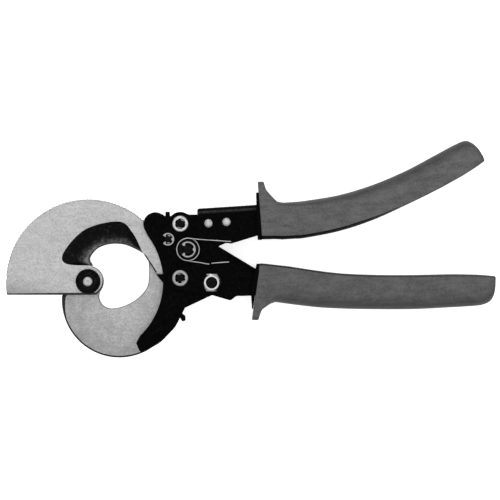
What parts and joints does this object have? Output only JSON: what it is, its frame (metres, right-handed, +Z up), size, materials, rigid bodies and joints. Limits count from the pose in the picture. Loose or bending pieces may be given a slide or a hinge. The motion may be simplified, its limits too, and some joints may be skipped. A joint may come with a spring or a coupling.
{
  "type": "ratcheting cable cutter",
  "caption": "Hand-held ratcheting cable cutter with a toothed hook blade over a fixed C-shaped blade, black frame and two grey grips with finger guards.",
  "frame": {"origin": "on the blade pivot's axis, at the flat rear face of its bolt head, which is in the plane the tool rests on", "axes": "+X from the jaw to the grips, +Y from the lower handle to the upper one, +Z up out of the tool's front face"},
  "size_m": [0.2504, 0.1114, 0.024],
  "materials": {
    "blade_steel": "satin",
    "black_painted_steel": "satin",
    "black_oxide_steel": "satin",
    "bright_steel": "polished",
    "spring_steel": "satin",
    "grey_vinyl": "matte"
  },
  "bodies": {
    "frame": {"front_frame_plate": "black_painted_steel", "rear_frame_plate": "black_painted_steel", "fixed_blade": "blade_steel", "arm_spacer": "black_painted_steel", "arm_rivet_1": "black_painted_steel", "arm_rivet_2": "black_painted_steel", "tang_rivet_1": "black_painted_steel", "tang_rivet_2": "black_painted_steel", "nose_pivot_bolt": "black_oxide_steel", "nose_pivot_nut": "black_oxide_steel", "nose_rear_washer": "black_oxide_steel", "frame_pin": "black_oxide_steel", "frame_pin_sleeve": "black_oxide_steel", "frame_pin_ring_front": "bright_steel", "frame_pin_ring_rear": "bright_steel", "holding_pawl_pin": "black_oxide_steel", "holding_pawl_clip_front": "bright_steel", "holding_pawl_clip_rear": "bright_steel", "spring_post": "black_oxide_steel", "spring_bush": "black_oxide_steel", "spring_post_clip": "bright_steel", "handle_spring": "spring_steel", "upper_handle_channel": "black_painted_steel", "upper_handle_core": "black_painted_steel", "handle_rivet_1": "bright_steel", "handle_rivet_2": "bright_steel", "upper_grip": "grey_vinyl", "upper_grip_collar": "black_painted_steel", "handle_pivot_bolt": "black_oxide_steel", "handle_pivot_nut": "bright_steel", "handle_pivot_sleeve": "black_oxide_steel"},
    "moving_blade": {"moving_blade": "blade_steel"},
    "lower_handle": {"lower_handle_channel": "black_painted_steel", "lower_handle_core": "black_painted_steel", "lower_handle_rivet": "black_painted_steel", "lower_grip": "grey_vinyl", "lower_grip_collar": "black_painted_steel", "drive_pawl_pin": "black_oxide_steel", "drive_pawl_ring_front": "bright_steel", "drive_pawl_ring_rear": "bright_steel"},
    "drive_pawl": {"drive_pawl": "black_painted_steel", "drive_pawl_spring": "spring_steel"},
    "holding_pawl": {"holding_pawl": "black_painted_steel", "holding_pawl_spring": "spring_steel"}
  },
  "joints": [
    {"name": "blade_pivot", "type": "hinge", "parent": "frame", "child": "moving_blade", "pos_m": [0, 0, 0.01415], "axis": [0, 0, 1], "range_deg": [-105, 85]},
    {"name": "handle_squeeze", "type": "hinge", "parent": "frame", "child": "lower_handle", "pos_m": [0.0634, -0.0005, 0.012], "axis": [0, 0, 1], "range_deg": [0, 16], "stiffness_Nm_per_rad": 0.8, "springref_deg": -11.46, "deforming": ["handle_spring"]},
    {"name": "drive_pawl_release", "type": "hinge", "parent": "lower_handle", "child": "drive_pawl", "pos_m": [0.0473, 0.0018, 0.01415], "axis": [0, 0, 1], "range_deg": [0, 12], "stiffness_Nm_per_rad": 0.02, "springref_deg": -11.46, "deforming": ["drive_pawl_spring"]},
    {"name": "holding_pawl_release", "type": "hinge", "parent": "frame", "child": "holding_pawl", "pos_m": [0.041, 0.0216, 0.01415], "axis": [0, 0, 1], "range_deg": [0, 10], "stiffness_Nm_per_rad": 0.02, "springref_deg": -11.46, "deforming": ["holding_pawl_spring"]}
  ]
}
